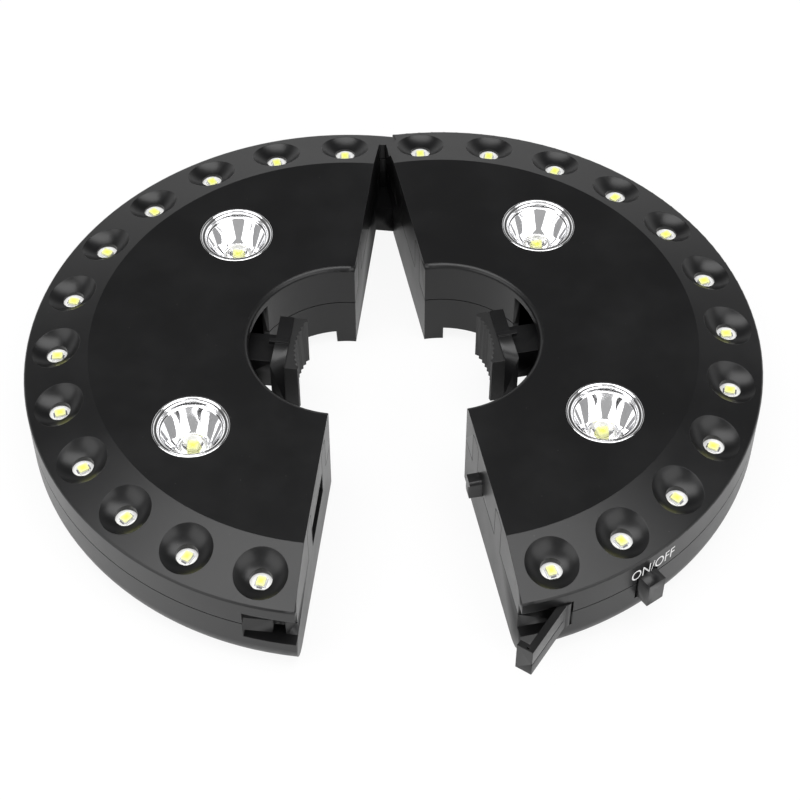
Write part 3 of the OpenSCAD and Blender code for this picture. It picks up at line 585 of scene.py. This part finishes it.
# %% Spotlight domes and chips
lamp_lo, lamp_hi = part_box("left_spot_leds")
LAMP_R = (lamp_hi.x - lamp_lo.x) / 2
LAMP_Z0 = lamp_lo.z
LAMP_Z1 = lamp_hi.z
BASE_H = 0.9 * MM
CHIP = 2.4 * MM
CHIP_TALL = 1.0 * MM
CHIP_CORNER = 0.45 * MM
CHIP_REACH = 0.6 * CHIP    # how far the deep yellow spreads from the middle
DOME_WALL = 0.7 * MM       # the upright part below the dome's curve
DOME_INSET = 0.5 * MM
COLLAR = 0.35 * MM


def dome_profile():
    """Half the cut through a dome: a low collar, a short wall and the curve to the top."""
    wall_z = LAMP_Z0 + BASE_H + DOME_WALL
    radius = LAMP_R - DOME_INSET
    height = LAMP_Z1 - wall_z
    arc = [(radius * math.cos(math.radians(a)), wall_z + height * math.sin(math.radians(a)))
           for a in range(0, 90, 6)]
    return ([(0, LAMP_Z0 + BASE_H), (radius + COLLAR, LAMP_Z0 + BASE_H),
             (radius + COLLAR, wall_z - 0.15 * MM), (radius, wall_z - 0.1 * MM)]
            + arc + [(0, LAMP_Z1)])


def rounded_block(size, centre, bevel, segments=2, turn=0.0):
    """A block with rounded edges, standing on the height of its centre."""
    bm = bmesh.new()
    bmesh.ops.create_cube(bm, size=1)
    bmesh.ops.scale(bm, vec=size, verts=bm.verts)
    bmesh.ops.bevel(bm, geom=bm.edges, offset=bevel, segments=segments, affect="EDGES",
                    profile=0.5, material=-1)
    bmesh.ops.rotate(bm, cent=(0, 0, 0), matrix=Matrix.Rotation(turn, 3, "Z"), verts=bm.verts)
    bmesh.ops.translate(bm, vec=centre, verts=bm.verts)
    return bm


FACE_BEVEL = 0.07 * MM
FACE_RINGS = 4             # rings of points on a yellow face


def top_face(bm):
    """The many-sided face on top of a block with round corners."""
    return max(bm.faces, key=lambda f: (len(f.verts), f.calc_center_median().z))


def lamp_face(size, centre, corner, turn=0.0):
    """A yellow face: a low block with round corners, and rings of points for its shading."""
    bm = bmesh.new()
    bmesh.ops.create_cube(bm, size=1)
    bmesh.ops.scale(bm, vec=size, verts=bm.verts)
    upright = [e for e in bm.edges if abs(e.verts[0].co.z - e.verts[1].co.z) > size[2] / 2]
    bmesh.ops.bevel(bm, geom=upright, offset=corner, segments=4, affect="EDGES", profile=0.5,
                    material=-1)
    rim = list(top_face(bm).edges)
    bmesh.ops.bevel(bm, geom=rim, offset=FACE_BEVEL, segments=2, affect="EDGES", profile=0.5,
                    material=-1)
    middle = bmesh.ops.poke(bm, faces=[top_face(bm)])["verts"][0]
    bmesh.ops.subdivide_edges(bm, edges=list(middle.link_edges), cuts=FACE_RINGS)
    bmesh.ops.rotate(bm, cent=(0, 0, 0), matrix=Matrix.Rotation(turn, 3, "Z"), verts=bm.verts)
    bmesh.ops.translate(bm, vec=centre, verts=bm.verts)
    return bm


def disc(radius, height, centre, segments=48):
    """A short upright cylinder that stands on its centre."""
    bm = bmesh.new()
    bmesh.ops.create_cone(bm, cap_ends=True, segments=segments, radius1=radius,
                          radius2=radius, depth=height)
    bmesh.ops.translate(bm, vec=Vector(centre) + Vector((0, 0, height / 2)), verts=bm.verts)
    return bm


for side in HALVES:
    ride_on = f"{side}_half"
    bases = [disc(LAMP_R - 0.1 * MM, BASE_H - 0.05 * MM, c + Vector((0, 0, LAMP_Z0)))
             for c in SPOTS]
    finish_mesh(join_bmeshes(bases), f"{side}_spot_bases", ride_on, lamp_frame,
                side, replaces=[f"{side}_spot_leds"])
    domes = [spun(dome_profile(), c, steps=64, closed=False) for c in SPOTS]
    finish_mesh(join_bmeshes(domes), f"{side}_spot_domes", ride_on, clear_resin, side)
    chip_z = LAMP_Z0 + BASE_H + 0.05 * MM + CHIP_TALL / 2
    chips = [lamp_face((CHIP, CHIP, CHIP_TALL), c + Vector((0, 0, chip_z)), CHIP_CORNER)
             for c in SPOTS]
    piece = finish_mesh(join_bmeshes(chips), f"{side}_spot_chips", ride_on, phosphor, side)
    mark_heart(piece, [HALVES[side] @ c for c in SPOTS], CHIP_REACH)

# %% [markdown]
# ## Ring lamps
# Each half has a row of small flat lamps, one in every cup, soldered to the white board. A lamp
# is a white frame with a yellow face, and its two tin feet show as grey bars at the ends.

# %% Ring lamp places
ring_lo, ring_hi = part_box("left_ring_leds")
BOARD_TOP = ring_lo.z
LAMP_TOP = ring_hi.z
FRAME_LONG = 3.5 * MM      # a lamp's long side points at the rim
FRAME_WIDE = 2.8 * MM
FACE_LONG = 3.4 * MM
FACE_WIDE = 2.7 * MM
FACE_TALL = 0.7 * MM
FACE_SHOWS = 0.45 * MM     # how far the yellow face stands above its frame
FACE_CORNER = 0.5 * MM
FACE_REACH = 1.7 * MM
FRAME_BEVEL = 0.15 * MM
FOOT = (0.4 * MM, 1.7 * MM, 0.4 * MM)
FOOT_OUT = 0.26 * MM       # from the frame's end to the middle of a foot
# a thin grey strip on the board along each long side of a lamp: painted shadow of its frame
SHADOW_STRIP = (3.6 * MM, 0.16 * MM, 0.04 * MM)
SHADOW_STRIP_OUT = 0.32 * MM       # from the frame's side to a painted shadow strip
print(COUNT, "ring lamps a half, board at", round(BOARD_TOP * 1000, 2), "mm")


def at_ring(angle, out=0.0, along=0.0, height=0.0):
    """A point at a lamp's place, moved outwards, along the ring and up."""
    outward = Vector((math.cos(angle), math.sin(angle), 0))
    sideways = Vector((-outward.y, outward.x, 0))
    return outward * (RING_R + out) + sideways * along + Vector((0, 0, height))


for side in HALVES:
    ride_on = f"{side}_half"
    tall = LAMP_TOP - BOARD_TOP
    frames, faces, feet, shadow_strips = [], [], [], []
    frame_tall = tall - FACE_SHOWS
    for a in LAMP_ANGLES:
        frames.append(rounded_block((FRAME_LONG, FRAME_WIDE, frame_tall),
                                    at_ring(a, height=BOARD_TOP + frame_tall / 2),
                                    FRAME_BEVEL, turn=a))
        faces.append(lamp_face((FACE_LONG, FACE_WIDE, FACE_TALL),
                               at_ring(a, height=LAMP_TOP - FACE_TALL / 2), FACE_CORNER, turn=a))
        for end in (-1, 1):
            out = end * (FRAME_LONG / 2 + FOOT_OUT)
            feet.append(rounded_block(FOOT, at_ring(a, out, 0, BOARD_TOP + 0.18 * MM),
                                      0.1 * MM, turn=a))
            # the painted shadow strips lie along the frame's long sides
            along = end * (FRAME_WIDE / 2 + SHADOW_STRIP_OUT)
            shadow_strips.append(rounded_block(SHADOW_STRIP, at_ring(a, 0, along, BOARD_TOP + 0.01 * MM),
                                       0.01 * MM, segments=1, turn=a))
    finish_mesh(join_bmeshes(frames), f"{side}_lamp_frames", ride_on, lamp_frame,
                side, replaces=[f"{side}_ring_leds"])
    piece = finish_mesh(join_bmeshes(faces), f"{side}_lamp_faces", ride_on, phosphor, side)
    mark_heart(piece, [HALVES[side] @ at_ring(a) for a in LAMP_ANGLES], FACE_REACH)
    finish_mesh(join_bmeshes(feet), f"{side}_lamp_feet", ride_on, solder, side)
    finish_mesh(join_bmeshes(shadow_strips), f"{side}_painted_lamp_shadows", ride_on, painted_shadow_grey,
                side)

# %% [markdown]
# ## Switch lettering
# The words by the switch are printed on the side wall, above the button. A text curve gives the
# letters. Once they are a mesh, each point is wrapped onto the wall's cylinder.

# %% Printed words
TEXT_MIDDLE = math.radians(270 - 25.2)      # the button stands 25.2 degrees from the front
TEXT_Z = 22.6 * MM
TEXT_LENGTH = 17.5 * MM
TEXT_TALL = 4.7 * MM
TEXT_LIFT = 0.06 * MM

curve = bpy.data.curves.new("switch_words", "FONT")
curve.body = "ON/OFF"
curve.align_x = "CENTER"
curve.size = 1.0
curve.extrude = 0.0
text_object = bpy.data.objects.new("switch_words_curve", curve)
bpy.context.scene.collection.objects.link(text_object)
bpy.context.view_layer.update()
letters = bpy.data.meshes.new_from_object(text_object)
bpy.data.objects.remove(text_object)
bm = bmesh.new()
bm.from_mesh(letters)
bmesh.ops.remove_doubles(bm, verts=bm.verts, dist=1e-5)
xs = [v.co.x for v in bm.verts]
ys = [v.co.y for v in bm.verts]
long_edges = [e for e in bm.edges if e.calc_length() > 0.12]
bmesh.ops.subdivide_edges(bm, edges=long_edges, cuts=2)
for v in bm.verts:
    along = (v.co.x - (min(xs) + max(xs)) / 2) / (max(xs) - min(xs)) * TEXT_LENGTH
    up = (v.co.y - min(ys)) / (max(ys) - min(ys)) * TEXT_TALL
    # the left half is mirrored for the right, so the words run backwards here
    angle = TEXT_MIDDLE - along / WALL_R
    reach = WALL_R + TEXT_LIFT
    v.co = (reach * math.cos(angle), reach * math.sin(angle), TEXT_Z + up)
words = finish_mesh(bm, "switch_words", "right_half", print_ink, "right")
print("words", [round(c * 1000, 1) for c in words.dimensions])

# %% [markdown]
# ## Studio
# The floor is plain and white. A broad soft light hangs straight above, and two soft boxes stand
# low in front. The room is pale in front and near the horizon behind, and dark high up behind.
# The flat face mirrors that dark part, so it stays nearly black. The band and the walls mirror
# the pale horizon and the white floor, and the bowls mirror the boxes.

# %% Floor and backdrop
FLOOR_SIZE = 6.0
bm = bmesh.new()
bmesh.ops.create_grid(bm, x_segments=1, y_segments=1, size=FLOOR_SIZE / 2)
floor_mesh = bpy.data.meshes.new("floor")
bm.to_mesh(floor_mesh)
bm.free()
floor = bpy.data.objects.new("floor", floor_mesh)
floor.location.z = -0.0002
bpy.context.scene.collection.objects.link(floor)
FLOOR_GLOW = 0.90          # how much of the floor's tone is plain white rather than light on it
MIRRORED_GLOW = 0.30       # the same where the object mirrors it, so its shadow shows more
floor_paint = bpy.data.materials.new("Floor paint")
floor_paint.use_nodes = True
tree = floor_paint.node_tree
shader = tree.nodes["Principled BSDF"]
shader.inputs["Base Color"].default_value = (0.9, 0.9, 0.9, 1)
shader.inputs["Roughness"].default_value = 0.9
shader.inputs["Specular IOR Level"].default_value = 0.2
white = tree.nodes.new("ShaderNodeEmission")
path = tree.nodes.new("ShaderNodeLightPath")
mirrored = math_node(
    tree, "MAXIMUM", path.outputs["Is Glossy Ray"], path.outputs["Is Transmission Ray"])
glow = math_node(tree, "MAXIMUM",
                 math_node(tree, "MULTIPLY", path.outputs["Is Camera Ray"], FLOOR_GLOW),
                 math_node(tree, "MULTIPLY", mirrored, MIRRORED_GLOW))
mix = tree.nodes.new("ShaderNodeMixShader")
tree.links.new(glow, mix.inputs["Fac"])
tree.links.new(shader.outputs["BSDF"], mix.inputs[1])
tree.links.new(white.outputs["Emission"], mix.inputs[2])
tree.links.new(mix.outputs["Shader"], tree.nodes["Material Output"].inputs["Surface"])
floor_mesh.materials.append(floor_paint)

# %% Room
BACK_HIGH = 0.08           # the dark ceiling behind the object
FRONT_HIGH = 0.42          # and the paler one in front of it
BACK_LOW = 0.92            # added near the horizon behind the object
FRONT_LOW = 0.0            # and in front of it
world = bpy.data.worlds.new("Studio")
bpy.context.scene.world = world
world.use_nodes = True
tree = world.node_tree
sky = tree.nodes["Background"]
sky.inputs["Color"].default_value = (1, 1, 1, 1)
look = tree.nodes.new("ShaderNodeTexCoord")
split = tree.nodes.new("ShaderNodeSeparateXYZ")
tree.links.new(look.outputs["Generated"], split.inputs["Vector"])


def fade(value, start, end, low, high):
    """A smooth change from one strength to another."""
    node = tree.nodes.new("ShaderNodeMapRange")
    node.interpolation_type = "SMOOTHSTEP"
    tree.links.new(value, node.inputs["Value"])
    numbers = {"From Min": start, "From Max": end, "To Min": low, "To Max": high}
    for label, number in numbers.items():
        node.inputs[label].default_value = number
    return node.outputs["Result"]


low_down = fade(split.outputs["Z"], 0.15, 0.66, 1.0, 0.0)
depth_tone = fade(split.outputs["Y"], -0.15, 0.25, FRONT_LOW, BACK_LOW)
ceiling_tone = fade(split.outputs["Y"], -0.35, 0.2, FRONT_HIGH, BACK_HIGH)
sky_level = math_node(tree, "ADD", math_node(tree, "MULTIPLY", low_down, depth_tone), ceiling_tone)
tree.links.new(sky_level, sky.inputs["Strength"])

# %% Lights


def soft_light(name, place, target, size, level):
    """A soft box that faces a point. Its power is set from how bright its face should look."""
    lamp = bpy.data.lights.new(name, "AREA")
    lamp.shape = "RECTANGLE"
    lamp.size, lamp.size_y = size
    lamp.energy = level * 4 * size[0] * size[1]
    light = bpy.data.objects.new(name, lamp)
    bpy.context.scene.collection.objects.link(light)
    light.location = place
    light.rotation_euler = (Vector(target) - Vector(place)).to_track_quat("-Z", "Y").to_euler()
    light.visible_camera = False
    return light


def towards(azimuth, elevation, distance):
    """A place that is seen from the object at an angle round from +X and an angle up."""
    a, e = math.radians(azimuth), math.radians(elevation)
    flat = math.cos(e)
    return MIDDLE + distance * Vector((flat * math.cos(a), flat * math.sin(a), math.sin(e)))


MIDDLE = Vector((0.015, 0.0, 0.03))
soft_light("overhead", (0.0, -0.12, 1.03), (0.0, -0.12, 0.0), (1.4, 0.7), 3.0)
soft_light("left_box", towards(220, 23, 1.2), MIDDLE, (1.2, 0.8), 1.4)
soft_light("right_box", towards(322, 24, 1.2), MIDDLE, (1.3, 0.85), 1.4)

# %% [markdown]
# ## Camera
# The camera looks down on the open light from the front, from about 70 centimetres away.

# %% Camera
CAMERA_PLACE = Vector((0.0711, -0.4407, 0.5359))
CAMERA_TARGET = Vector((0.0211, -0.0186, 0.0300))
camera_data = bpy.data.cameras.new("camera")
camera_data.lens = 90.98
camera_data.sensor_width = 36
camera = bpy.data.objects.new("camera", camera_data)
bpy.context.scene.collection.objects.link(camera)
camera.location = CAMERA_PLACE
camera.rotation_euler = (CAMERA_TARGET - CAMERA_PLACE).to_track_quat("-Z", "Y").to_euler()
bpy.context.scene.camera = camera
bpy.context.scene.view_settings.view_transform = "Standard"
